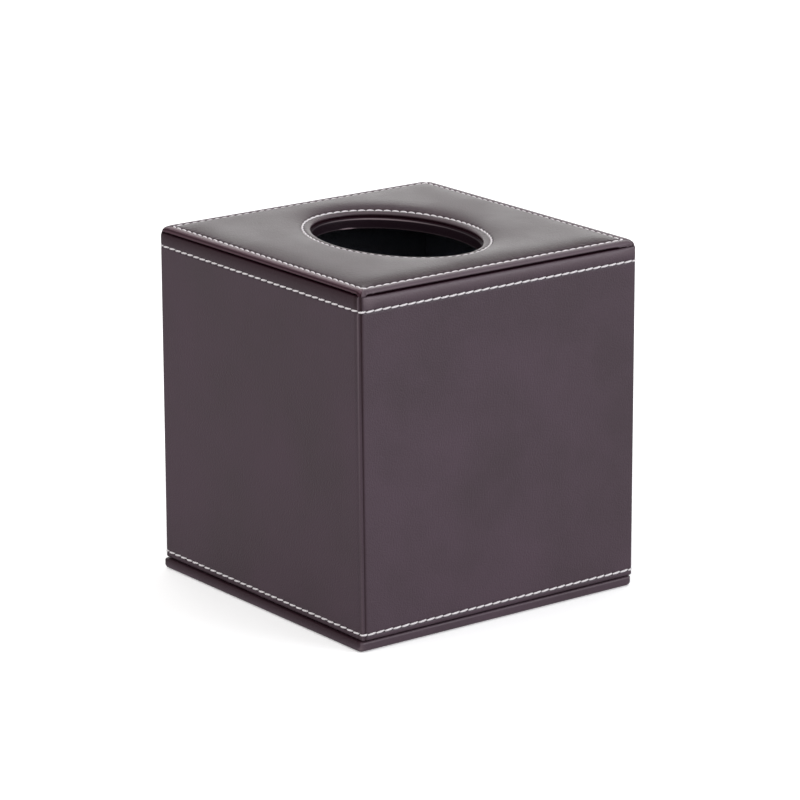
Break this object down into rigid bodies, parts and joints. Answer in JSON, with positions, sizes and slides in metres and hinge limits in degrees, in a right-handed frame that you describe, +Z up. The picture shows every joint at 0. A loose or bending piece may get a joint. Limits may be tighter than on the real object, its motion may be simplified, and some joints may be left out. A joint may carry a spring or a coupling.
{
  "type": "tissue box cover",
  "caption": "Square leather-covered tissue box cover: boards under stitched leather, padded top with an oval opening, and a hinged bottom flap held shut by magnets.",
  "frame": {"origin": "centre of the square of the body, on the underside of the closed flap", "axes": "+Z up; -Y towards the front, where the flap's free edge stands proud; +X to the right; the oval's long axis is along X"},
  "size_m": [0.1284, 0.1295, 0.1367],
  "materials": {
    "brown_leather": "satin",
    "black_flannel": "matte",
    "mdf": "matte",
    "greyboard": "matte",
    "foam": "matte",
    "nickel_magnet": "satin",
    "steel_plate": "satin",
    "white_thread": "satin"
  },
  "bodies": {
    "shell": {"front_wall_board": "mdf", "back_wall_board": "mdf", "left_wall_board": "mdf", "right_wall_board": "mdf", "top_board": "mdf", "side_leather": "brown_leather", "hinge_tongue": "brown_leather", "opening_collar": "brown_leather", "top_panel_board": "greyboard", "top_panel_foam": "foam", "top_panel_leather": "brown_leather", "front_lining": "black_flannel", "right_lining": "black_flannel", "back_lining": "black_flannel", "left_lining": "black_flannel", "top_lining": "black_flannel", "wall_magnets": "nickel_magnet"},
    "base_flap": {"base_leather": "brown_leather", "base_board": "mdf", "base_lining": "black_flannel", "keeper_plates": "steel_plate"}
  },
  "joints": [
    {"name": "base_flap_hinge", "type": "hinge", "parent": "shell", "child": "base_flap", "pos_m": [0, 0.0641, 0.00395], "axis": [1, 0, 0], "range_deg": [0, 160]}
  ]
}
